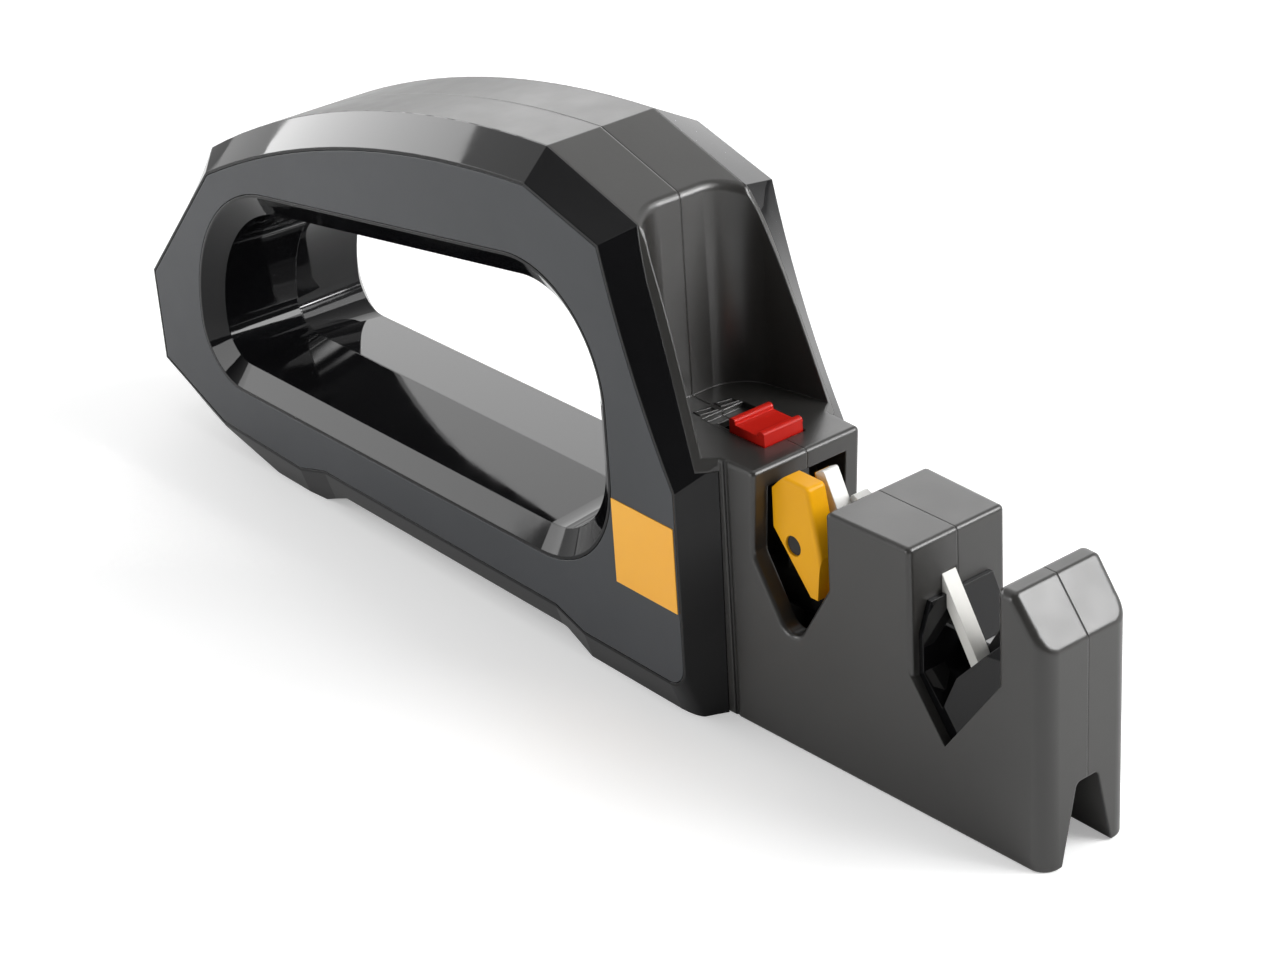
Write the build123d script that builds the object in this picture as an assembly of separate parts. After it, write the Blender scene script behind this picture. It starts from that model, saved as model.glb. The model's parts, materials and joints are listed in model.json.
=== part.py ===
from build123d import *
import math
import os

# Handle body, in millimetres
body_length = 160.5
body_height = 87.6
body_width = 35.4
crest_width = 21.7
housing_wall = 2.2
cover_wall = 2.2
panel_thickness = 1.2
panel_rim = 0.5
panel_gap = 0.15
fit_gap = 0.05
overrun = 5.0

# Outlines of the body in side view, as shares of its length from the rear and of its height
panel_shares = [
    (0.178, 0.670),
    (0.475, 0.869, 0.791, 0.953),
    (0.901, 0.892),
    (0.940, 0.676, 0.994, 0.467),
    (0.994, 0.102),
    (0.986, 0.070, 0.969, 0.056),
    (0.830, 0.056),
    (0.784, 0.083),
    (0.356, 0.083),
    (0.304, 0.056),
    (0.142, 0.064),
    (0.022, 0.153),
    (0.022, 0.365),
]
crest_shares = [
    (0.125, 0.677),
    (0.469, 0.918, 0.775, 0.993),
    (0.911, 0.910),
    (0.975, 0.702, 1.017, 0.516),
    (1.012, -0.162),
    (1.004, -0.194, 0.987, -0.208),
    (0.830, -0.208),
    (0.784, -0.181),
    (0.356, -0.181),
    (0.304, -0.208),
    (0.139, -0.204),
    (0.000, 0.113),
    (0.000, 0.377),
]
underside_shares = [
    (1.05, 0.0),
    (0.828, 0.0),
    (0.793, 0.040),
    (0.386, 0.040),
    (0.335, 0.0),
    (0.238, 0.0),
    (0.145, 0.056),
    (-0.02, 0.158),
    (-0.02, 1.1),
    (1.05, 1.1),
]

# Hand loop: corners as shares of the body, rounding of the lower and front ones as shares of its height,
# share of the rear side that is rounded, and the loop's lead-in
loop_corner_shares = [(0.1265, 0.6256), (0.1265, 0.1804), (0.8897, 0.1975), (0.8897, 0.8288)]
loop_radius_shares = [0.1256, 0.2283, 0.2283]
loop_rear_share = 0.995
loop_bevel = 4.0
loop_bevel_depth = 2.7
loop_crown = 1.4
loop_wall = 2.0

# Thumb scoop in front of the grip
scoop_depth = 17.2
scoop_back_width = 9.0
scoop_corner_depth = 6.2
scoop_corner_width = 22.4
scoop_front_reach = 6.0
scoop_front_width = 28.2
scoop_wall = 1.4
scoop_corner_bulge = 1.1
scoop_edge_radius = 1.6

# Head: lengths along X, widths and heights
rear_block_length = 10.1
rear_slot_width = 15.2
middle_block_length = 17.25
front_slot_width = 16.75
nose_length = 9.3
deck_height = 46.0
middle_block_height = 44.8
nose_height = 45.0
nose_front_height = 37.1
nose_slope_length = 6.2
rear_block_width = 23.0
nose_width = 17.6
head_wall = 2.2
head_side_wall = 3.0
head_rounding = 0.8
nose_corner_radius = 3.0
nose_edge_radius = 1.4
lower_rounding = 0.5
upright_share = 0.95
seam_groove_width = 1.0
seam_groove_depth = 0.5

# Rear slot: the V notch in the head's side walls
rear_notch_apex = 17.9
rear_notch_offset = 7.0
rear_notch_shoulder = 31.5
rear_notch_undercut = 1.0
rear_notch_radius = 2.7
window_height = 42.7
window_lip = 2.0

# Front slot: the V notch in the head's side walls
front_notch_bottom = 14.1
front_notch_offset = 6.5
front_notch_rear_shoulder = 23.2
front_notch_front_shoulder = 28.0

# Groove under the nose
groove_length = 16.0
groove_mouth_width = 10.6
groove_top_width = 4.4
groove_height = 13.6
groove_rounding = 1.0

# Ceramic rods and the insert that holds them
rod_width = 2.8
rod_thickness = 2.0
rod_length = 22.5
rod_lean_deg = 31.0
rod_cross_height = 27.4
rod_top_height = 41.0
rod_rounding = 0.4
rod_seat_wall = 6.5
insert_height = 35.3
insert_wall = 0.9
insert_side_gap = 1.6
insert_shoulder = 6.4
insert_shoulder_drop = 5.0
insert_front_drop = 0.8
insert_bend_offset = 0.95
insert_bend_height = 25.6
insert_low_offset = 4.6
insert_low_height = 19.3
insert_rear_height = 24.0
insert_bed_width = 6.8
insert_bed_height = 23.0
insert_web = 0.8
insert_post_length = 4.0
insert_post_width = 6.0
insert_post_height = 40.6

# Carbide rocker and its hub on the pin
pivot_height = 22.0
pin_diameter = 4.0
pin_running_gap = 0.05
hub_diameter = 8.0
rocker_range_deg = 12.0
rocker_side_gap = 0.6
near_post_length = 8.0
near_post_reach = 8.0
near_post_inner = 4.4
near_post_height = 45.2
near_post_chamfer = 2.4
near_post_waist = 33.9
near_post_heel = 36.0
near_post_bottom = 26.6
near_post_toe = 1.6
near_post_flare = 2.4
far_post_length = 6.2
far_post_reach = 5.0
far_post_drop = 5.5
rocker_base_height = 29.0
rocker_base_setback = 7.0
rocker_base_reach = 5.0
rocker_split_height = 26.2
rocker_tail_width = 5.0
rocker_tail_length = 2.5
rocker_tail_height = 42.8
rocker_foot_width = 5.0
rocker_foot_depth = 5.4
rocker_eye_diameter = 3.4
rocker_eye_depth = 1.6
rocker_eye_offset = 4.4
rocker_eye_height = 34.2
carbide_width = 3.0
carbide_thickness = 2.2
carbide_length = 12.5
carbide_lean_deg = 27.0
carbide_cross_drop = 4.1
carbide_rise = 0.8
carbide_drop = 4.0
carbide_offset = 9.4
carbide_rounding = 0.5

# Rocker spring on its pedestal
pedestal_length = 8.0
pedestal_height = 12.0
spring_width = 6.0
spring_thickness = 0.5
spring_span = 12.0
spring_foot_run = 1.6
spring_crown_width = 5.0
spring_gap = 0.3

# Lock on the deck
deck_thickness = 2.2
lock_travel = 6.0
button_length = 8.2
button_width = 8.0
button_height = 1.4
button_ridge = 0.9
button_ridge_length = 1.4
button_setback = 5.4
button_recess = 1.0
lock_gap = 0.3
stem_length = 5.0
stem_width = 4.4
slide_length = 13.0
slide_width = 9.0
slide_thickness = 2.0
slide_drop = 0.5
tongue_gap = 0.4
tongue_width = 4.0
tongue_length = 1.0
lock_screw_diameter = 2.0
lock_screw_head = 4.0
lock_screw_head_height = 1.2
lock_screw_length = 4.6
lock_shelf_depth = 5.2
lock_shelf_thickness = 2.0
lock_shelf_length = 9.0
detent_width = 1.8
detent_offset = 3.4
detent_span = 7.6
detent_foot_run = 1.2
detent_crown_length = 1.6
detent_thickness = 0.4

# Screws and bosses; places as shares of the body's length and height
boss_diameter = 6.0
screw_diameter = 3.0
screw_head_diameter = 5.2
screw_head_height = 1.5
screw_tip_reach = 7.0
cover_screw_length = 5.5
rib_width = 2.0
rib_reach = 30.0
boss_place_shares = [(0.0735, 0.290), (0.946, 0.140), (0.843, 0.816), (0.415, 0.765)]
boss_rib_turns_deg = [180.0, 270.0, 75.0, 95.0]
head_boss_share = 0.42
head_boss_height = 22.0
head_screw_sink = 0.3

# Badges and feet
badge_size = 15.2
badge_thickness = 0.5
badge_proud = 0.1
badge_place_shares = (0.940, 0.305)
foot_pad_thickness = 1.0
foot_pad_width = 18.0
foot_pad_rounding = 3.0
front_foot_shares = (0.842, 0.965)
rear_foot_shares = (0.245, 0.328)

# Places worked out from the sizes above
head_length = rear_block_length + rear_slot_width + middle_block_length + front_slot_width + nose_length
overall_length = body_length + head_length
rear_x = -overall_length / 2
head_x = rear_x + body_length
rear_slot_x = head_x + rear_block_length
middle_x = rear_slot_x + rear_slot_width
front_slot_x = middle_x + middle_block_length
nose_x = front_slot_x + front_slot_width
front_x = nose_x + nose_length
head_taper = (rear_block_width - nose_width) / 2 / head_length
crest_y = crest_width / 2
panel_y = body_width / 2
cover_floor_y = panel_y - panel_thickness
cavity_y = cover_floor_y - cover_wall
loop_edge_y = panel_y - loop_bevel_depth
sky_z = body_height + overrun
chamber_x = head_x + head_wall
head_boss_x = middle_x + head_boss_share * middle_block_length
pedestal_x = rear_slot_x + rocker_side_gap
rod_cross_x = front_slot_x + front_notch_offset
carbide_cross_x = rear_slot_x + carbide_offset
near_post_x = rear_slot_x + rocker_side_gap
near_post_end = near_post_x + near_post_length
far_post_x = middle_x - rocker_side_gap - far_post_length
far_post_height = near_post_height - far_post_drop
carbide_top_height = near_post_height + carbide_rise
carbide_cross_height = near_post_height - carbide_cross_drop
rocker_tail_x = rear_slot_x - window_lip - rocker_side_gap - rocker_tail_length
screw_seat_y = cover_floor_y - panel_gap / 2 - screw_head_height
head_boss_half = rear_block_width / 2 - head_taper * (head_boss_x - head_x)
head_screw_seat_y = head_boss_half - head_screw_sink - screw_head_height
button_x = rear_slot_x - button_setback - button_length
button_middle_x = button_x + button_length / 2
lock_recess_x = (button_x - lock_travel - lock_gap, button_x + button_length + lock_gap)
stem_x = button_middle_x - stem_length / 2
lock_slot_x = (stem_x - lock_travel - lock_gap, stem_x + stem_length + lock_gap)
deck_floor = deck_height - deck_thickness
slide_top = deck_floor - slide_drop
shelf_x = head_x - lock_shelf_length
shelf_z = deck_floor - lock_shelf_depth
shelf_half = slide_width / 2 + head_wall
LEFT = 1
RIGHT = -1


def body_point(share):
    return (rear_x + share[0] * body_length, share[1] * body_height)


def body_rows(shares):
    """Rows of an outline in millimetres: two numbers for a corner, four for an arc's middle and end."""
    rows = []
    for row in shares:
        points = [body_point(row[i:i + 2]) for i in range(0, len(row), 2)]
        rows.append(tuple(value for point in points for value in point))
    return rows


def side_face(rows, y):
    """Closed face in side view at one place across the object."""
    edges = []
    last = rows[0]
    for row in rows[1:] + [rows[0][:2]]:
        start = Vector(last[-2], y, last[-1])
        end = Vector(row[-2], y, row[-1])
        if len(row) == 4:
            edges.append(Edge.make_three_point_arc(start, Vector(row[0], y, row[1]), end))
        else:
            edges.append(Edge.make_line(start, end))
        last = row
    return Face(Wire(edges))


def across(face, depth):
    return extrude(face, amount=depth, dir=(0, 1, 0))


def side_prism(rows, y_from, y_to):
    return across(side_face(rows, y_from), y_to - y_from)


def block(x_from, x_to, y_from, y_to, z_from, z_to):
    size = (x_to - x_from, y_to - y_from, z_to - z_from)
    middle = ((x_from + x_to) / 2, (y_from + y_to) / 2, (z_from + z_to) / 2)
    return Pos(*middle) * Box(*size)


def rod_x(x_from, x_to, y, z, radius):
    return Pos((x_from + x_to) / 2, y, z) * Rot(0, 90, 0) * Cylinder(radius, x_to - x_from)


def rod_y(x, y_from, y_to, z, radius):
    return Pos(x, (y_from + y_to) / 2, z) * Rot(90, 0, 0) * Cylinder(radius, y_to - y_from)


def rod_z(x, y, z_from, z_to, radius):
    return Pos(x, y, (z_from + z_to) / 2) * Cylinder(radius, z_to - z_from)


def unit(a, b):
    span = math.dist(a, b)
    return ((b[0] - a[0]) / span, (b[1] - a[1]) / span)


def half_corner(corners, i):
    """Half the angle at a corner, with the directions to its neighbours."""
    a = unit(corners[i], corners[i - 1])
    b = unit(corners[i], corners[(i + 1) % len(corners)])
    return math.acos(a[0] * b[0] + a[1] * b[1]) / 2, a, b


def moved_corners(corners, inset):
    """Corners of a convex outline after each side moves inwards by the inset."""
    moved = []
    for i, corner in enumerate(corners):
        half, a, b = half_corner(corners, i)
        reach = inset / math.sin(2 * half)
        moved.append((corner[0] + (a[0] + b[0]) * reach, corner[1] + (a[1] + b[1]) * reach))
    return moved


def rounded_rows(corners, radii):
    """Rows of an outline with an arc at each corner that has a radius."""
    rows = []
    for i, corner in enumerate(corners):
        radius = radii[i]
        if radius == 0:
            rows.append(corner)
            continue
        half, a, b = half_corner(corners, i)
        run = radius / math.tan(half)
        inward = unit((0, 0), (a[0] + b[0], a[1] + b[1]))
        dip = radius / math.sin(half) - radius
        rows.append((corner[0] + a[0] * run, corner[1] + a[1] * run))
        crown = (corner[0] + inward[0] * dip, corner[1] + inward[1] * dip)
        rows.append(crown + (corner[0] + b[0] * run, corner[1] + b[1] * run))
    return rows


def loop_rows(inset):
    """Outline of the hand loop, with a rear top rounding that fills the rear side."""
    corners = [body_point(share) for share in loop_corner_shares]
    radii = [share * body_height for share in loop_radius_shares]
    rear_run = loop_rear_share * math.dist(corners[0], corners[1])
    rear_run -= radii[0] / math.tan(half_corner(corners, 1)[0])
    radii.insert(0, rear_run * math.tan(half_corner(corners, 0)[0]))
    return rounded_rows(moved_corners(corners, inset), [radius - inset for radius in radii])


def plan_prism(points, z_from, z_to):
    face = Face(Wire.make_polygon([Vector(x, y, z_from) for x, y in points], close=True))
    return extrude(face, amount=z_to - z_from, dir=(0, 0, 1))


def scoop_prism(grow, z_from):
    """The thumb scoop in plan: flat back, round corners and sides that open to the front."""
    back = head_x - scoop_depth - grow
    corner = head_x - scoop_depth + scoop_corner_depth
    front = head_x + scoop_front_reach
    back_half = scoop_back_width / 2
    corner_half = scoop_corner_width / 2 + grow
    front_half = scoop_front_width / 2 + grow
    bulge_x = (back + corner) / 2 - scoop_corner_bulge
    bulge_half = (back_half + corner_half) / 2 + scoop_corner_bulge
    plan = [(front, front_half), (corner, corner_half), (back, back_half)]
    left = [Vector(x, y, z_from) for x, y in plan]
    right = [Vector(x, -y, z_from) for x, y in plan]
    edges = [
        Edge.make_line(left[0], left[1]),
        Edge.make_three_point_arc(left[1], Vector(bulge_x, bulge_half, z_from), left[2]),
        Edge.make_line(left[2], right[2]),
        Edge.make_three_point_arc(right[2], Vector(bulge_x, -bulge_half, z_from), right[1]),
        Edge.make_line(right[1], right[0]),
        Edge.make_line(right[0], left[0]),
    ]
    return extrude(Face(Wire(edges)), amount=sky_z - z_from, dir=(0, 0, 1))


def scoop_edge_sliver():
    """Sliver that comes off the upper edge of the scoop to round it."""
    form = core_form - scoop_prism(0, deck_height)
    edges = form.edges().filter_by(lambda e: e.center().X > head_x - scoop_depth - fit_gap)
    edges = edges.filter_by(lambda e: e.center().Y < scoop_corner_width / 2 - scoop_corner_bulge)
    edges = edges.filter_by(lambda e: e.center().Z > (deck_height + body_height) / 2)
    edges = edges.filter_by(lambda e: abs(e.tangent_at(0.5).Z) < upright_share)
    return form - fillet(edges, scoop_edge_radius)


def inset_face(rows, inset, y):
    return offset(side_face(rows, y), amount=-inset, kind=Kind.INTERSECTION)


def head_half(x):
    """Half width of the head, tapering evenly from the body to the nose."""
    return rear_block_width / 2 - head_taper * (x - head_x)


def head_plan(inset):
    """Left half of the head in plan, with its side moved inwards by the inset."""
    return [(head_x, 0), (head_x, head_half(head_x) - inset), (front_x, head_half(front_x) - inset), (front_x, 0)]


def rear_notch_corners():
    return [
        (middle_x, rear_notch_shoulder),
        (rear_slot_x + rear_notch_offset, rear_notch_apex),
        (rear_slot_x - rear_notch_undercut, rear_notch_shoulder),
    ]


def front_notch_corners():
    return [
        (nose_x, front_notch_front_shoulder),
        (front_slot_x + front_notch_offset, front_notch_bottom),
        (front_slot_x, front_notch_rear_shoulder),
    ]


def head_form():
    """Left half of the head's outside, with both slots cut through in side view."""
    edge = head_rounding
    slope_x = front_x - nose_slope_length
    bend = rear_notch_radius
    corners = [
        ((head_x, 0), 0),
        ((front_x, 0), 0),
        ((front_x, nose_front_height), 0),
        ((slope_x, nose_height), edge),
        ((nose_x, nose_height), edge),
        *[(corner, 0) for corner in front_notch_corners()],
        ((front_slot_x, middle_block_height), edge),
        ((middle_x, middle_block_height), edge),
        *zip(rear_notch_corners(), (edge, bend, bend)),
        ((rear_slot_x, deck_height), edge),
        ((head_x, deck_height), 0),
    ]
    profile = rounded_rows([corner for corner, radius in corners], [radius for corner, radius in corners])
    form = plan_prism(head_plan(0), 0, deck_height)
    nose_corner = form.edges().filter_by(Axis.Z).group_by(Axis.X)[-1].sort_by(Axis.Y)[-1]
    form = fillet(nose_corner, nose_corner_radius) & side_prism(profile, 0, rear_block_width)
    brow = form.edges().filter_by(lambda e: abs(e.center().Z - nose_front_height) < fit_gap)
    brow = brow.filter_by(lambda e: e.center().X > front_x - fit_gap)
    form = fillet(upper_edges(form, nose_x, front_x) + brow, nose_edge_radius)
    form = fillet(upper_edges(form, head_x, nose_x), edge) - nose_groove()
    low = form.edges().filter_by(lambda e: abs(e.center().Z) < fit_gap and e.center().Y > lower_rounding)
    low = low.filter_by(lambda e: e.center().X > chamber_x)
    return fillet(low, lower_rounding)


def upper_edges(form, x_from, x_to):
    """Outer edges along the top of the head between two places."""
    found = form.edges().filter_by(lambda e: x_from < e.center().X < x_to)
    found = found.filter_by(lambda e: e.center().Y > head_half(front_x) - nose_corner_radius)
    found = found.filter_by(lambda e: e.center().Z > nose_front_height - head_rounding)
    return found.filter_by(lambda e: abs(e.tangent_at(0.5).Z) < upright_share)


def head_hollows():
    """Rocker chamber with its window, and the hollow of the middle block."""
    inside = plan_prism(head_plan(head_side_wall), head_wall, deck_height)
    side_y = rear_block_width
    lip_x = rear_slot_x - window_lip
    hollow = inside & block(chamber_x, lip_x, 0, side_y, head_wall, deck_floor)
    hollow += inside & block(lip_x, middle_x, 0, side_y, head_wall, window_height)
    top = middle_block_height - head_wall
    hollow += inside & block(middle_x + head_wall, front_slot_x - rod_seat_wall, 0, side_y, head_wall, top)
    return hollow


def nose_groove():
    """Half of the tapered groove under the nose, open at the front and below."""
    mouth = groove_mouth_width / 2
    top = groove_top_width / 2
    start = front_x - groove_length
    points = [(0, 0), (mouth, 0), (top, groove_height), (0, groove_height)]
    face = Face(Wire.make_polygon([Vector(start, y, z) for y, z in points], close=True))
    groove = extrude(face, amount=groove_length, dir=(1, 0, 0))
    corner = groove.edges().filter_by(Axis.X).group_by(Axis.Z)[-1].sort_by(Axis.Y)[-1]
    return fillet(corner, groove_rounding)


def boss_with_rib(place, turn):
    """Screw boss on the left half and the rib that ties it to the housing's wall."""
    x, z = place
    boss = rod_y(x, 0, cavity_y, z, boss_diameter / 2)
    rib = Pos(rib_reach / 2, 0, 0) * Box(rib_reach, crest_y, rib_width)
    rib = Pos(x, crest_y / 2, z) * Rot(0, -turn, 0) * rib
    return boss + (rib & core_form)


def half_housing():
    """Left half of the satin core: band round the body, scoop, deck and head."""
    shell = core_form - across(offset(core_face, amount=-housing_wall, kind=Kind.INTERSECTION), crest_y)
    for place, turn in zip(boss_places, boss_rib_turns_deg):
        shell += boss_with_rib(place, turn)
    shell += block(shelf_x, head_x, 0, shelf_half, shelf_z - lock_shelf_thickness, shelf_z)
    shell -= scoop_prism(0, deck_height)
    liner = scoop_prism(scoop_wall, deck_floor) - scoop_prism(0, deck_height)
    shell += liner & (core_form + cover_form)
    shell -= scoop_edge_sliver()
    head = head_form() - head_hollows()
    inside = plan_prism(head_plan(head_side_wall), 0, pedestal_height)
    head += inside & block(pedestal_x, pedestal_x + pedestal_length, 0, rear_block_width, 0, deck_height)
    head_boss_y = head_boss_half - head_wall
    head += rod_y(head_boss_x, 0, head_boss_y, head_boss_height, boss_diameter / 2)
    shell += head
    groove_x = chamber_x + seam_groove_width
    groove_y = head_half(groove_x) - seam_groove_depth
    shell -= block(groove_x, groove_x + seam_groove_width, groove_y, groove_y + overrun, 0, sky_z)
    slide_half = slide_width / 2 + lock_gap
    shell -= block(shelf_x, chamber_x + overrun / 2, 0, slide_half, shelf_z, deck_floor)
    shell -= rod_x(head_x - overrun, middle_x + overrun, 0, pivot_height, pin_diameter / 2 + fit_gap)
    shell -= block(*lock_recess_x, 0, button_width / 2 + lock_gap, deck_height - button_recess, sky_z)
    shell -= block(*lock_slot_x, 0, stem_width / 2 + lock_gap, shelf_z, sky_z)
    screw_bore = screw_diameter / 2 + fit_gap
    for x, z in boss_places:
        shell -= rod_y(x, -overrun, panel_y, z, screw_bore)
    shell -= rod_y(head_boss_x, -overrun, screw_tip_reach + fit_gap, head_boss_height, screw_bore)
    for pad in foot_pad_places:
        shell -= foot_pad(pad, fit_gap)
    return shell


def foot_pad(places, grow):
    x_from, x_to = places
    length = x_to - x_from + 2 * grow
    outline = RectangleRounded(length, foot_pad_width + 2 * grow, foot_pad_rounding)
    return Pos((x_from + x_to) / 2, 0, 0) * extrude(outline, foot_pad_thickness)


def both_sides(left):
    return left + mirror(left, about=Plane.XZ)


def leaning_rows(cross, top, lean_deg, thickness, length, rounding, side):
    """Side view of a bar whose working face leans through the crossing point; the side turns it round."""
    lean = math.radians(lean_deg)
    along = (-math.sin(lean), math.cos(lean))
    out = (math.cos(lean), math.sin(lean))
    reach = (top - cross[1]) / along[1]
    upper = (reach * along[0], top)
    lower = (upper[0] - length * along[0], top - length * along[1])
    rows = [
        upper,
        lower,
        (lower[0] - thickness * out[0], lower[1] - thickness * out[1]),
        (upper[0] - thickness * out[0], upper[1] - thickness * out[1]),
    ]
    corners = [(cross[0] + side * x, z) for x, z in rows]
    return corners, rounded_rows(corners, [rounding] * len(corners))


def rod_rows(side):
    cross = (rod_cross_x, rod_cross_height)
    size = (rod_thickness, rod_length, rod_rounding)
    return leaning_rows(cross, rod_top_height, rod_lean_deg, *size, side)[1]


def ceramic_rod(side, grow):
    """One ceramic rod: the right one leans back, the left one leans forward beside it."""
    face = offset(side_face(rod_rows(-side), 0), amount=grow) if grow else side_face(rod_rows(-side), 0)
    rod = Pos(0, insert_web / 2 + fit_gap - grow, 0) * across(face, rod_width - fit_gap + 2 * grow)
    return rod if side == LEFT else mirror(rod, about=Plane.XZ)


def insert_opening():
    """Side view of the knife slot in the insert, open above."""
    sky = insert_height + overrun
    return [
        (nose_x - insert_wall, sky),
        (nose_x - insert_wall, insert_height - insert_front_drop),
        (rod_cross_x + insert_bend_offset, insert_bend_height),
        (front_slot_x + insert_low_offset, insert_low_height),
        (front_slot_x + insert_wall, insert_rear_height),
        (front_slot_x + insert_wall, sky),
    ]


def insert_shoulder_cut():
    """Prism along X that slopes the insert's top down towards its left side."""
    side = head_half(front_slot_x) - insert_side_gap
    low = insert_height - insert_shoulder_drop
    high = insert_height + overrun
    points = [(insert_shoulder, insert_height), (side, low), (side + overrun, low), (side + overrun, high)]
    points.append((insert_shoulder, high))
    face = Face(Wire.make_polygon([Vector(front_slot_x, y, z) for y, z in points], close=True))
    return extrude(face, amount=front_slot_width, dir=(1, 0, 0))


def ceramic_holder():
    """Insert in the front slot: a V trough, bed and web for the rods, and the post of the left rod."""
    front, middle, rear = front_notch_corners()
    outline = [(nose_x, insert_height), front, middle, rear, (front_slot_x, insert_height)]
    plan = plan_prism(head_plan(insert_side_gap), 0, deck_height)
    trough = across(inset_face(outline, fit_gap, 0), rear_block_width) & plan
    bed = trough & block(front_slot_x, nose_x, 0, insert_bed_width / 2, 0, insert_bed_height)
    web_half = insert_web / 2
    web = trough & block(front_slot_x, nose_x, 0, web_half, 0, rod_cross_height)
    web += trough & block(rod_cross_x, nose_x, 0, web_half, 0, insert_height)
    half = trough - side_prism(insert_opening(), -overrun, rear_block_width) - insert_shoulder_cut()
    half += bed + web
    holder = both_sides(half)
    post_x = nose_x - insert_post_length
    holder += block(post_x, nose_x - fit_gap, fit_gap, insert_post_width, front[1], insert_post_height)
    rise = overrun + insert_post_height - rod_cross_height
    run = rise * math.tan(math.radians(rod_lean_deg))
    sky = rod_cross_height + rise
    blade = [(rod_cross_x, rod_cross_height), (rod_cross_x + run, sky), (rod_cross_x - run, sky)]
    holder -= side_prism(blade, -rear_block_width, rear_block_width)
    for side in (LEFT, RIGHT):
        holder -= ceramic_rod(side, fit_gap)
    return holder


def carbide_rows(side, top):
    cross = (carbide_cross_x, carbide_cross_height)
    size = (carbide_thickness, carbide_length, carbide_rounding)
    return leaning_rows(cross, top, carbide_lean_deg, *size, side)


def carbide_top(side):
    return carbide_top_height - (carbide_drop if side == LEFT else 0)


def carbide(side):
    """One carbide bar: the right one leans back, the left one leans forward and sits lower."""
    rows = carbide_rows(-side, carbide_top(side))[1]
    bar = side_prism(rows, fit_gap, carbide_width)
    return bar if side == LEFT else mirror(bar, about=Plane.XZ)


def carbide_seat(side):
    """Wedge of the rocker that backs one carbide bar."""
    upper, lower, lower_back, upper_back = carbide_rows(-side, carbide_top(side))[0]
    base = rocker_base_height - fit_gap
    rows = [upper_back, lower_back, (lower_back[0], base), (upper_back[0], base)]
    wedge = side_prism(rows, fit_gap, carbide_width)
    return wedge if side == LEFT else mirror(wedge, about=Plane.XZ)


def near_post():
    """Post behind the right carbide: a slab that narrows below, with a blind eye in its outer face."""
    rows = [
        (near_post_end, near_post_bottom),
        (near_post_end + near_post_toe, near_post_bottom),
        (near_post_end + near_post_flare, near_post_waist),
        (near_post_end, near_post_height),
        (near_post_x + near_post_chamfer, near_post_height),
        (near_post_x, near_post_height - near_post_chamfer),
        (near_post_x, near_post_heel),
    ]
    post = side_prism(rows, -near_post_reach, -near_post_inner)
    corner = post.edges().filter_by(lambda e: e.center().Y < -near_post_inner - fit_gap)
    corner = corner.filter_by(lambda e: e.center().X > near_post_x + near_post_chamfer)
    corner = corner.filter_by(lambda e: e.center().Z > near_post_waist)
    post = fillet(corner, head_rounding)
    eye_x = near_post_x + rocker_eye_offset
    eye_floor = rocker_eye_depth - near_post_reach
    return post - rod_y(eye_x, -near_post_reach, eye_floor, rocker_eye_height, rocker_eye_diameter / 2)


def carbide_rocker():
    """Jaw of the rocker: a post and a seat for each carbide on a common base."""
    hub_end = far_post_x + far_post_length
    base_x = near_post_x + rocker_base_setback
    split = rocker_split_height
    jaw = block(base_x, hub_end, -rocker_base_reach, far_post_reach, split, rocker_base_height)
    jaw += near_post()
    jaw += block(far_post_x, hub_end, carbide_width, far_post_reach, split, far_post_height)
    for side in (LEFT, RIGHT):
        jaw += carbide_seat(side)
    for side in (LEFT, RIGHT):
        jaw -= carbide(side)
    return jaw


def rocker_hub():
    """Carrier under the jaw: hub on the pin, column, tail at the lock and foot over the spring."""
    hub_end = far_post_x + far_post_length
    base_x = near_post_x + rocker_base_setback
    split = rocker_split_height - fit_gap
    hub = rod_x(chamber_x + rocker_side_gap, hub_end, 0, pivot_height, hub_diameter / 2)
    hub += block(base_x, hub_end, -rocker_base_reach, far_post_reach, pivot_height, split)
    tail_half = rocker_tail_width / 2
    tail_end = rocker_tail_x + rocker_tail_length
    hub += block(rocker_tail_x, tail_end, -tail_half, tail_half, pivot_height, rocker_tail_height)
    foot_half = rocker_foot_width / 2
    foot_end = pedestal_x + pedestal_length
    foot_z = pivot_height - rocker_foot_depth
    hub += block(pedestal_x, foot_end, -foot_half, foot_half, foot_z, pivot_height)
    return hub - rod_x(head_x, middle_x, 0, pivot_height, pin_diameter / 2 + pin_running_gap)


def leaf_points(start, seat, crown, span, foot_run, crown_run, thickness):
    """Outline of a bowed leaf: flat feet on the seat and a flat crown, as pairs along and up."""
    rise = (span - crown_run) / 2
    lower = [
        (start, seat),
        (start + foot_run, seat),
        (start + rise, crown - thickness),
        (start + span - rise, crown - thickness),
        (start + span - foot_run, seat),
        (start + span, seat),
    ]
    upper = [
        (start + span, seat + thickness),
        (start + span - foot_run - thickness / 2, seat + thickness),
        (start + span - rise - thickness / 2, crown),
        (start + rise + thickness / 2, crown),
        (start + foot_run + thickness / 2, seat + thickness),
        (start, seat + thickness),
    ]
    return lower + upper


def rocker_spring():
    """Leaf under the rocker's foot, just clear of the foot at full swing."""
    swing = math.radians(rocker_range_deg)
    foot_low = rocker_foot_depth * math.cos(swing) + rocker_foot_width / 2 * math.sin(swing)
    crown = pivot_height - foot_low - spring_gap
    size = (spring_span, spring_foot_run, spring_crown_width, spring_thickness)
    points = leaf_points(-spring_span / 2, pedestal_height, crown, *size)
    x = pedestal_x + (pedestal_length - spring_width) / 2
    face = Face(Wire.make_polygon([Vector(x, y, z) for y, z in points], close=True))
    return extrude(face, amount=spring_width, dir=(1, 0, 0))


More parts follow.
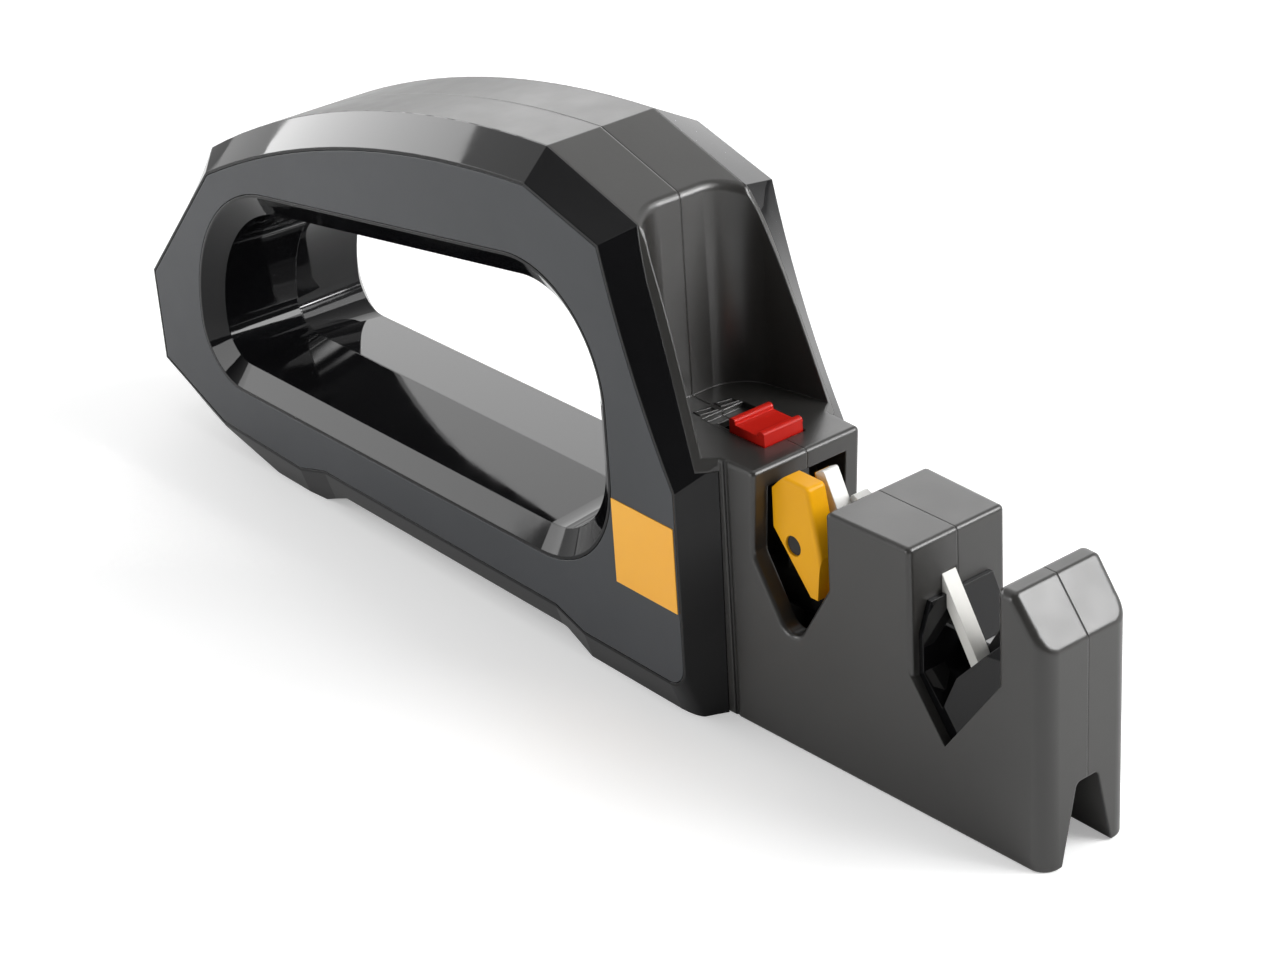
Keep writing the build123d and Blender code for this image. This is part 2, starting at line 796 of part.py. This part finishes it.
def lock_detent_spring():
    """Leaf on the lock's shelf, beside the screw and just under the slide."""
    crown = slide_top - slide_thickness - spring_gap
    size = (detent_span, detent_foot_run, detent_crown_length, detent_thickness)
    points = leaf_points(shelf_x + lock_gap, shelf_z, crown, *size)
    y = detent_offset - detent_width / 2
    return side_prism(points, y, y + detent_width)


def lock_button():
    """Thumb button with a ridge at both ends and a stem through the deck."""
    end = button_x + button_length
    half = button_width / 2
    floor = deck_height - button_recess + lock_gap
    top = deck_height + button_height
    button = block(button_x, end, -half, half, floor, top)
    for x in (button_x, end - button_ridge_length):
        ridge = block(x, x + button_ridge_length, -half, half, top, top + button_ridge)
        button += fillet(ridge.edges().group_by(Axis.Z)[-1].filter_by(Axis.Y), button_ridge_length / 3)
    stem_half = stem_width / 2
    button += block(stem_x, stem_x + stem_length, -stem_half, stem_half, slide_top, floor)
    return button - lock_screw_bore()


def lock_slide():
    """Plate under the deck whose tongue stands in front of the rocker's tail."""
    tip = rocker_tail_x - tongue_gap
    wide_end = tip - tongue_length
    bottom = slide_top - slide_thickness
    plate = block(tip - slide_length, wide_end, -slide_width / 2, slide_width / 2, bottom, slide_top)
    plate += block(wide_end, tip, -tongue_width / 2, tongue_width / 2, bottom, slide_top)
    return plate - lock_screw_bore()


def lock_screw():
    """Screw from below that holds the slide to the button's stem."""
    seat = slide_top - slide_thickness
    screw = rod_z(button_middle_x, 0, seat, seat + lock_screw_length, lock_screw_diameter / 2)
    return screw + rod_z(button_middle_x, 0, seat - lock_screw_head_height, seat, lock_screw_head / 2)


def lock_screw_bore():
    seat = slide_top - slide_thickness
    top = seat + lock_screw_length + fit_gap
    return rod_z(button_middle_x, 0, seat - fit_gap, top, lock_screw_diameter / 2 + fit_gap)


def housing_screw(x, z, seat):
    """Screw from the left through both halves, with its head on the seat."""
    screw = rod_y(x, -screw_tip_reach, seat, z, screw_diameter / 2)
    return screw + rod_y(x, seat, seat + screw_head_height, z, screw_head_diameter / 2)


def cover_screw(x, z):
    """Short screw that holds the right cover to its boss."""
    screw = rod_y(x, -screw_seat_y, cover_screw_length - screw_seat_y, z, screw_diameter / 2)
    return screw + rod_y(x, -screw_seat_y - screw_head_height, -screw_seat_y, z, screw_head_diameter / 2)


def left_cover():
    """Gloss shell on the left: outer bevel, loop bevel and the left half of the loop's wall."""
    solid = cover_form
    solid -= cavity_prism(crest_y, cavity_y)
    solid += side_prism(loop_rows(loop_bevel - loop_wall), 0, crest_y)
    edge = side_face(loop_rows(loop_bevel), loop_edge_y)
    solid -= loft([side_face(loop_rows(loop_bevel + loop_crown), 0), edge], ruled=True)
    solid -= loft([edge, side_face(loop_rows(0), panel_y)], ruled=True)
    recess = across(inset_face(panel_rows, panel_rim, cover_floor_y), panel_thickness + overrun)
    recess -= side_prism(loop_rows(-panel_rim), cover_floor_y - overrun, panel_y + overrun)
    solid -= recess
    solid -= scoop_prism(scoop_wall, deck_floor)
    solid -= plan_prism(head_plan(-fit_gap), -overrun, deck_height)
    for x, z in boss_places:
        solid -= rod_y(x, cavity_y - overrun, panel_y, z, screw_diameter / 2 + fit_gap)
        solid -= rod_y(x, screw_seat_y, panel_y, z, screw_head_diameter / 2 + fit_gap)
    return solid


def cavity_prism(y_from, y_to):
    """Hollow of a side cover, clear of the loop's wall and of the thumb scoop's wall."""
    hollow = across(inset_face(panel_rows, cover_wall, y_from), y_to - y_from)
    hollow -= side_prism(loop_rows(loop_bevel - loop_wall), y_from - overrun, y_to + overrun)
    return hollow - scoop_prism(scoop_wall + cover_wall, deck_floor - cover_wall)


def left_panel():
    plate = across(inset_face(panel_rows, panel_rim + panel_gap, cover_floor_y), panel_thickness)
    plate -= side_prism(loop_rows(-panel_rim - panel_gap), cover_floor_y - overrun, panel_y + overrun)
    return plate - badge_block(panel_y - badge_thickness + badge_proud, panel_y + overrun, fit_gap)


def badge_block(y_from, y_to, grow):
    x, z = body_point(badge_place_shares)
    half = badge_size / 2 + grow
    return block(x - half, x + half, y_from, y_to, z - half, z + half)


# Left half of the body's outer form, kept above the underside
panel_rows = body_rows(panel_shares)
crest_rows = body_rows(crest_shares)
underside_rows = body_rows(underside_shares)
boss_places = [body_point(share) for share in boss_place_shares]
foot_pad_places = []
for shares in (front_foot_shares, rear_foot_shares):
    foot_pad_places.append([rear_x + share * body_length for share in shares])
keep_left = side_prism(underside_rows, -overrun, panel_y + overrun)
cover_form = loft([side_face(crest_rows, crest_y), side_face(panel_rows, panel_y)], ruled=True) & keep_left
core_face = side_face(crest_rows, 0) & side_face(underside_rows, 0)
core_form = across(core_face, crest_y)

base_half = half_housing()
head_bore = rod_y(head_boss_x, 0, panel_y, head_boss_height, screw_diameter / 2 + fit_gap)
head_sink_radius = screw_head_diameter / 2 + fit_gap
head_sink = rod_y(head_boss_x, head_screw_seat_y, panel_y, head_boss_height, head_sink_radius)
left_badge = badge_block(panel_y - badge_thickness + badge_proud, panel_y + badge_proud, 0)

pieces = {}
pieces["left_housing"] = base_half - head_bore - head_sink
pieces["right_housing"] = mirror(base_half, about=Plane.XZ) - ceramic_rod(RIGHT, fit_gap)
pieces["left_side_cover"] = left_cover()
pieces["left_side_panel"] = left_panel()
pieces["left_badge"] = left_badge
for name in ("side_cover", "side_panel", "badge"):
    pieces["right_" + name] = mirror(pieces["left_" + name], about=Plane.XZ)
pieces["front_foot_pad"] = foot_pad(foot_pad_places[0], 0)
pieces["rear_foot_pad"] = foot_pad(foot_pad_places[1], 0)
long_screws = [housing_screw(x, z, screw_seat_y) for x, z in boss_places]
long_screws.append(housing_screw(head_boss_x, head_boss_height, head_screw_seat_y))
pieces["housing_screws"] = Compound(children=long_screws)
pieces["cover_screws"] = Compound(children=[cover_screw(x, z) for x, z in boss_places])
pieces["rocker_pin"] = rod_x(head_x, middle_x + head_wall, 0, pivot_height, pin_diameter / 2)
pieces["rocker_hub"] = rocker_hub()
pieces["carbide_rocker"] = carbide_rocker()
pieces["right_carbide"] = carbide(RIGHT)
pieces["left_carbide"] = carbide(LEFT)
pieces["rocker_spring"] = rocker_spring()
pieces["lock_button"] = lock_button()
pieces["lock_slide"] = lock_slide()
pieces["lock_screw"] = lock_screw()
pieces["lock_detent_spring"] = lock_detent_spring()
pieces["ceramic_holder"] = ceramic_holder()
pieces["right_ceramic_rod"] = ceramic_rod(RIGHT, 0)
pieces["left_ceramic_rod"] = ceramic_rod(LEFT, 0)

os.makedirs("parts", exist_ok=True)
for name, piece in pieces.items():
    print(name, round(piece.volume, 1), len(piece.solids()), piece.is_valid)
    export_step(piece, f"parts/{name}.step")
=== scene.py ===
import json
import math

import bmesh
import bpy
from mathutils import Matrix, Vector


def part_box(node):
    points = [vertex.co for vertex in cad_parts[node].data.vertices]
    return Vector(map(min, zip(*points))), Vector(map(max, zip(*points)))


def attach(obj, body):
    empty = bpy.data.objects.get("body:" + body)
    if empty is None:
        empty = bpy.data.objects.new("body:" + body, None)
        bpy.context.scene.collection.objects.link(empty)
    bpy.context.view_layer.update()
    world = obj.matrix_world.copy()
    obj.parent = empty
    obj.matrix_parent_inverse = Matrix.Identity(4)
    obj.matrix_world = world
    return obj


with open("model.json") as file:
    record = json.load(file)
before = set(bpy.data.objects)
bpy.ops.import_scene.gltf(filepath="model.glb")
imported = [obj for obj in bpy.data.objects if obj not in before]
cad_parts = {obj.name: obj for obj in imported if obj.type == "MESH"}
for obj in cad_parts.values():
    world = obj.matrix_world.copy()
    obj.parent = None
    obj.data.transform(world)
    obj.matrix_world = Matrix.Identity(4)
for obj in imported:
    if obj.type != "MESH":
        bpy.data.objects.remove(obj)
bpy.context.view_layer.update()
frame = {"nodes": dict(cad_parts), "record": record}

# Camera at the photograph's viewing angle, in metres and degrees, with its sensor in millimetres
camera_place = (0.36438, -0.27057, 0.25649)
camera_azimuth = 52.35
camera_elevation = 27.5
camera_roll = -3.95
camera_sensor = 36.0
camera_focal_share = 3000.0 / 1280.0
camera_nearest = 0.01

# Softness of the moulded edges, in metres
edge_samples = 8
housing_edge = 0.00045
cover_edge = 0.0002
panel_edge = 0.0003
small_edge = 0.0002

# Noise in every surface: clouds in the colour, smears in the gloss, and the grain
cloud_scale = 38.0
cloud_detail = 4.0
smear_scale = 160.0
smear_detail = 3.0
grain_detail = 2.0
grain_height = 0.0001
noise_low = 0.3
noise_high = 0.7

# Raised bars on the deck behind the lock button, in metres
mark_setback = 0.0078
mark_spacing = 0.0044
mark_length = 0.0017
mark_width = 0.0034
mark_slant = 0.0006
mark_line = 0.00035
mark_height = 0.00018
deck_height = 0.046

# Dark disc set into the eye of the rocker's near post as painted shade, standing for the dark inside
# of a deep hole, in metres
shade_plug_x = 0.06105
shade_plug_height = 0.0342
shade_plug_radius = 0.00166
shade_plug_setback = 0.0004
shade_plug_depth = 0.0012
shade_plug_sides = 40
quarter_turn = math.radians(90.0)

# World light: its strength on what it lights, and in reflections on its bright and dark sides.
# The dark side fades in between two shares of the way towards its direction.
sky_light = 0.33
sky_bright = 1.0
sky_dark = 0.10
dark_side = (0.62, -0.62, 0.48)
dark_from = -0.2
dark_full = 0.45

# Floor: half its width in metres, its surface, and the white that the camera sees besides its light.
# That white grows to full between the near and the far distance.
floor_half = 6.0
floor_colour = (0.90, 0.90, 0.90, 1.0)
floor_roughness = 0.9
floor_glow = 0.30
floor_near = 0.30
floor_far = 0.80

full_strength = 1.0
white = (1.0, 1.0, 1.0, 1.0)
corner_signs = ((-1, -1), (1, -1), (1, 1), (-1, 1))

# Narrow lamps beyond the hand loop, as pairs of height and tallness in metres.
# Each one's power follows its tallness, and its light spreads by a few degrees only.
loop_strips = ((0.15, 0.06), (0.29, 0.14), (0.44, 0.05))
loop_strip_width = 0.12
loop_strip_power = 0.07
loop_strip_spread = 8.0


def add_node(tree, kind, **settings):
    node = tree.nodes.new(kind)
    for name, value in settings.items():
        setattr(node, name, value)
    return node


def noise(tree, coordinate, scale, detail):
    node = add_node(tree, "ShaderNodeTexNoise")
    node.inputs["Scale"].default_value = scale
    node.inputs["Detail"].default_value = detail
    tree.links.new(coordinate, node.inputs["Vector"])
    return node.outputs["Fac"]


def ramp(tree, value, low, high, out_low, out_high):
    node = add_node(tree, "ShaderNodeMapRange", clamp=True)
    node.inputs["From Min"].default_value = low
    node.inputs["From Max"].default_value = high
    node.inputs["To Min"].default_value = out_low
    node.inputs["To Max"].default_value = out_high
    tree.links.new(value, node.inputs["Value"])
    return node.outputs["Result"]


def blend_colours(tree, value, first, second):
    node = add_node(tree, "ShaderNodeMix", data_type="RGBA")
    colours = [socket for socket in node.inputs if socket.type == "RGBA"]
    colours[0].default_value = (*first, 1.0)
    colours[1].default_value = (*second, 1.0)
    tree.links.new(value, node.inputs["Factor"])
    return [socket for socket in node.outputs if socket.type == "RGBA"][0]


def soft_edges(tree, radius):
    node = add_node(tree, "ShaderNodeBevel", samples=edge_samples)
    node.inputs["Radius"].default_value = radius
    return node.outputs["Normal"]


def bump(tree, height, strength, distance, normal):
    node = add_node(tree, "ShaderNodeBump")
    node.inputs["Strength"].default_value = strength
    node.inputs["Distance"].default_value = distance
    tree.links.new(height, node.inputs["Height"])
    tree.links.new(normal, node.inputs["Normal"])
    return node.outputs["Normal"]


def moulded(name, colour, shade, roughness, spread, grain_scale, grain_strength,
            specular=0.5, metallic=0.0, edge=small_edge):
    """Moulded or ground surface: cloudy colour, uneven gloss and a fine grain, all from noise."""
    material = bpy.data.materials.new(name)
    material.use_nodes = True
    tree = material.node_tree
    shader = tree.nodes["Principled BSDF"]
    coordinate = add_node(tree, "ShaderNodeTexCoord").outputs["Object"]
    cloud = noise(tree, coordinate, cloud_scale, cloud_detail)
    share = ramp(tree, cloud, noise_low, noise_high, 0.0, 1.0)
    tree.links.new(blend_colours(tree, share, colour, shade), shader.inputs["Base Color"])
    smear = noise(tree, coordinate, smear_scale, smear_detail)
    gloss = ramp(tree, smear, noise_low, noise_high, roughness - spread, roughness + spread)
    tree.links.new(gloss, shader.inputs["Roughness"])
    grain = noise(tree, coordinate, grain_scale, grain_detail)
    normal = bump(tree, grain, grain_strength, grain_height, soft_edges(tree, edge))
    tree.links.new(normal, shader.inputs["Normal"])
    shader.inputs["Specular IOR Level"].default_value = specular
    shader.inputs["Metallic"].default_value = metallic
    return material


finishes = {
    "satin_graphite": dict(
        colour=(0.022, 0.021, 0.0195), shade=(0.028, 0.027, 0.0255), roughness=0.31, spread=0.03,
        grain_scale=2200.0, grain_strength=0.05, specular=0.7, edge=housing_edge,
    ),
    "gloss_black": dict(
        colour=(0.003, 0.003, 0.0035), shade=(0.005, 0.005, 0.0055), roughness=0.05, spread=0.02,
        grain_scale=320.0, grain_strength=0.012, specular=0.32, edge=cover_edge,
    ),
    "satin_slate": dict(
        colour=(0.030, 0.033, 0.037), shade=(0.038, 0.041, 0.046), roughness=0.31, spread=0.03,
        grain_scale=2200.0, grain_strength=0.05, edge=panel_edge,
    ),
    "orange_badge": dict(
        colour=(0.95, 0.47, 0.045), shade=(0.92, 0.43, 0.038), roughness=0.34, spread=0.05,
        grain_scale=1400.0, grain_strength=0.03,
    ),
    "black_rubber": dict(
        colour=(0.020, 0.020, 0.020), shade=(0.028, 0.028, 0.028), roughness=0.75, spread=0.08,
        grain_scale=1600.0, grain_strength=0.20,
    ),
    "screw_steel": dict(
        colour=(0.50, 0.50, 0.51), shade=(0.42, 0.42, 0.43), roughness=0.36, spread=0.06,
        grain_scale=1500.0, grain_strength=0.05, metallic=1.0,
    ),
    "pin_steel": dict(
        colour=(0.60, 0.60, 0.61), shade=(0.52, 0.52, 0.53), roughness=0.20, spread=0.05,
        grain_scale=1500.0, grain_strength=0.04, metallic=1.0,
    ),
    "spring_steel": dict(
        colour=(0.48, 0.48, 0.50), shade=(0.40, 0.40, 0.42), roughness=0.36, spread=0.06,
        grain_scale=1500.0, grain_strength=0.05, metallic=1.0,
    ),
    "yellow_plastic": dict(
        colour=(0.84, 0.40, 0.004), shade=(0.78, 0.35, 0.003), roughness=0.36, spread=0.06,
        grain_scale=1300.0, grain_strength=0.04, specular=0.25,
    ),
    "carbide": dict(
        colour=(0.72, 0.72, 0.70), shade=(0.62, 0.62, 0.60), roughness=0.38, spread=0.08,
        grain_scale=1800.0, grain_strength=0.10, metallic=0.2,
    ),
    "red_plastic": dict(
        colour=(0.52, 0.014, 0.008), shade=(0.47, 0.012, 0.007), roughness=0.34, spread=0.04,
        grain_scale=1000.0, grain_strength=0.03, specular=0.18,
    ),
    "dark_plastic": dict(
        colour=(0.008, 0.008, 0.008), shade=(0.012, 0.012, 0.012), roughness=0.20, spread=0.05,
        grain_scale=2000.0, grain_strength=0.04,
    ),
    "white_ceramic": dict(
        colour=(0.82, 0.81, 0.78), shade=(0.76, 0.75, 0.71), roughness=0.42, spread=0.08,
        grain_scale=2400.0, grain_strength=0.12,
    ),
}
looks = {name: moulded(name, **finish) for name, finish in finishes.items()}

for row in frame["record"]["subparts"]:
    mesh = frame["nodes"][row["node"]].data
    mesh.materials.clear()
    mesh.materials.append(looks[row["material_slot"]])


def add_piece(name, mesh, look):
    """Object made from a finished bmesh, with one look all over."""
    data = bpy.data.meshes.new(name)
    mesh.to_mesh(data)
    mesh.free()
    data.materials.append(looks[look])
    piece = bpy.data.objects.new(name, data)
    bpy.context.collection.objects.link(piece)
    return piece


def mark_ring(mesh, middle, inset, height):
    """Four corners of one slanted bar, drawn in by the inset."""
    ring = []
    for along, across in corner_signs:
        x = along * (mark_length / 2 - inset) + across * mark_slant / 2
        y = across * (mark_width / 2 - inset)
        ring.append(mesh.verts.new(middle + Vector((x, y, height))))
    return ring


def make_deck_marks():
    """Two bar outlines, raised a little from the deck behind the lock button."""
    mesh = bmesh.new()
    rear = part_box("lock_button")[0].x - mark_setback
    for side in (-1, 1):
        middle = Vector((rear, side * mark_spacing / 2, deck_height))
        rings = [
            mark_ring(mesh, middle, 0.0, -mark_height),
            mark_ring(mesh, middle, 0.0, mark_height),
            mark_ring(mesh, middle, mark_line, mark_height),
            mark_ring(mesh, middle, mark_line, -mark_height),
        ]
        for lower, upper in zip(rings, rings[1:] + rings[:1]):
            for i in range(len(lower)):
                j = (i + 1) % len(lower)
                mesh.faces.new((lower[i], lower[j], upper[j], upper[i]))
    marks = add_piece("deck_marks", mesh, "satin_graphite")
    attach(marks, "body")


def make_eye_shade_plug():
    """Round dark disc of painted shade for the deep eye, let into the eye a little below the post's
    outer face.
    """
    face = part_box("carbide_rocker")[0].y
    middle = Vector((shade_plug_x, face + shade_plug_setback + shade_plug_depth / 2, shade_plug_height))
    turned = Matrix.Translation(middle) @ Matrix.Rotation(quarter_turn, 4, "X")
    mesh = bmesh.new()
    bmesh.ops.create_cone(
        mesh, cap_ends=True, segments=shade_plug_sides, radius1=shade_plug_radius, radius2=shade_plug_radius,
        depth=shade_plug_depth, matrix=turned,
    )
    # The dark disc is painted shade, not a part of the tool
    shade_plug = add_piece("eye_shade_plug", mesh, "black_rubber")
    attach(shade_plug, "rocker")


def make_floor():
    """Pale floor that keeps the object's shadow and runs out to white."""
    mesh = bpy.data.meshes.new("floor")
    corners = [(x * floor_half, y * floor_half, 0.0) for x, y in corner_signs]
    mesh.from_pydata(corners, [], [(0, 1, 2, 3)])
    floor = bpy.data.objects.new("floor", mesh)
    bpy.context.collection.objects.link(floor)
    material = bpy.data.materials.new("floor_white")
    material.use_nodes = True
    tree = material.node_tree
    shader = tree.nodes["Principled BSDF"]
    shader.inputs["Base Color"].default_value = floor_colour
    shader.inputs["Roughness"].default_value = floor_roughness
    shader.inputs["Specular IOR Level"].default_value = 0.0
    shader.inputs["Emission Color"].default_value = white
    distance = add_node(tree, "ShaderNodeVectorMath", operation="LENGTH")
    tree.links.new(add_node(tree, "ShaderNodeTexCoord").outputs["Object"], distance.inputs[0])
    glow = ramp(tree, distance.outputs["Value"], floor_near, floor_far, floor_glow, full_strength)
    shown = add_node(tree, "ShaderNodeMath", operation="MULTIPLY")
    tree.links.new(add_node(tree, "ShaderNodeLightPath").outputs["Is Camera Ray"], shown.inputs[0])
    tree.links.new(glow, shown.inputs[1])
    tree.links.new(shown.outputs[0], shader.inputs["Emission Strength"])
    mesh.materials.append(material)


def make_world():
    """Soft daylight: white behind the object, in reflections too, with one darker side of the room."""
    world = bpy.data.worlds.new("studio")
    bpy.context.scene.world = world
    world.use_nodes = True
    tree = world.node_tree
    background = tree.nodes["Background"]
    background.inputs["Color"].default_value = white
    path = add_node(tree, "ShaderNodeLightPath")
    mirrored = add_node(tree, "ShaderNodeMath", operation="MAXIMUM")
    tree.links.new(path.outputs["Is Glossy Ray"], mirrored.inputs[0])
    tree.links.new(path.outputs["Is Transmission Ray"], mirrored.inputs[1])
    towards = add_node(tree, "ShaderNodeVectorMath", operation="DOT_PRODUCT")
    towards.inputs[1].default_value = dark_side
    tree.links.new(add_node(tree, "ShaderNodeTexCoord").outputs["Generated"], towards.inputs[0])
    room = ramp(tree, towards.outputs["Value"], dark_from, dark_full, sky_bright, sky_dark)
    shown = add_node(tree, "ShaderNodeMix", data_type="FLOAT")
    shown.inputs["A"].default_value = sky_light
    tree.links.new(mirrored.outputs[0], shown.inputs["Factor"])
    tree.links.new(room, shown.inputs["B"])
    seen = add_node(tree, "ShaderNodeMath", operation="MAXIMUM")
    tree.links.new(path.outputs["Is Camera Ray"], seen.inputs[0])
    tree.links.new(shown.outputs["Result"], seen.inputs[1])
    tree.links.new(seen.outputs[0], background.inputs["Strength"])


def area_light(name, place, target, size, power, spread=180.0):
    """Lamp aimed at a point: places and size in metres, power in watts, spread in degrees."""
    data = bpy.data.lights.new(name, "AREA")
    data.shape = "RECTANGLE"
    data.size = size[0]
    data.size_y = size[1]
    data.energy = power
    data.spread = math.radians(spread)
    light = bpy.data.objects.new(name, data)
    light.location = place
    light.rotation_euler = (Vector(target) - Vector(place)).to_track_quat("-Z", "Y").to_euler()
    light.visible_camera = False
    bpy.context.collection.objects.link(light)


def window_light(place, target, panes, size, spacing, power):
    """A tall window of several panes, which shows as bright bars in the gloss."""
    towards = (Vector(target) - Vector(place)).normalized()
    along = towards.cross(Vector((0.0, 0.0, 1.0))).normalized()
    for pane in range(panes):
        middle = Vector(place) + along * spacing * (pane - (panes - 1) / 2)
        area_light(f"window_pane_{pane}", middle, target, size, power)


def make_lights():
    window_light(
        place=(0.80, 0.66, 0.74), target=(0.0, 0.0, 0.05),
        panes=3, size=(0.26, 0.80), spacing=0.32, power=2.8,
    )
    area_light(
        "nose_light", place=(0.286, 0.152, 0.200), target=(0.11, 0.0, 0.04),
        size=(0.14, 0.14), power=0.50,
    )
    for height, tall in loop_strips:
        area_light(
            "loop_light", place=(0.47, 0.41, height), target=(-0.08, 0.0, 0.045),
            size=(loop_strip_width, tall), power=loop_strip_power * tall, spread=loop_strip_spread,
        )
    area_light(
        "side_light", place=(-0.90, -0.26, 0.40), target=(-0.05, 0.0, 0.06),
        size=(0.9, 0.45), power=4.5,
    )
    area_light(
        "fill_light", place=(-0.20, -1.0, 0.30), target=(0.0, 0.0, 0.04),
        size=(0.5, 0.4), power=3.0,
    )
    area_light(
        "back_light", place=(-0.80, 0.60, 0.50), target=(-0.05, 0.0, 0.05),
        size=(1.0, 0.6), power=2.9,
    )
    area_light(
        "top_light", place=(0.0, 0.1, 1.2), target=(0.0, 0.0, 0.0),
        size=(0.6, 0.6), power=1.1,
    )


def make_camera():
    azimuth = math.radians(camera_azimuth)
    elevation = math.radians(camera_elevation)
    roll = math.radians(camera_roll)
    right = Vector((math.cos(azimuth), math.sin(azimuth), 0.0))
    level = math.cos(elevation)
    back = Vector((math.sin(azimuth) * level, -math.cos(azimuth) * level, math.sin(elevation)))
    up = back.cross(right)
    turned_right = right * math.cos(roll) + up * math.sin(roll)
    turned_up = up * math.cos(roll) - right * math.sin(roll)
    data = bpy.data.cameras.new("camera")
    data.sensor_fit = "HORIZONTAL"
    data.sensor_width = camera_sensor
    data.lens = camera_sensor * camera_focal_share
    data.clip_start = camera_nearest
    camera = bpy.data.objects.new("camera", data)
    turned = Matrix((turned_right, turned_up, back)).transposed().to_4x4()
    camera.matrix_world = Matrix.Translation(camera_place) @ turned
    bpy.context.collection.objects.link(camera)
    bpy.context.scene.camera = camera


make_deck_marks()
make_eye_shade_plug()
make_floor()
make_world()
make_lights()
make_camera()

bpy.context.scene.view_settings.view_transform = "Standard"
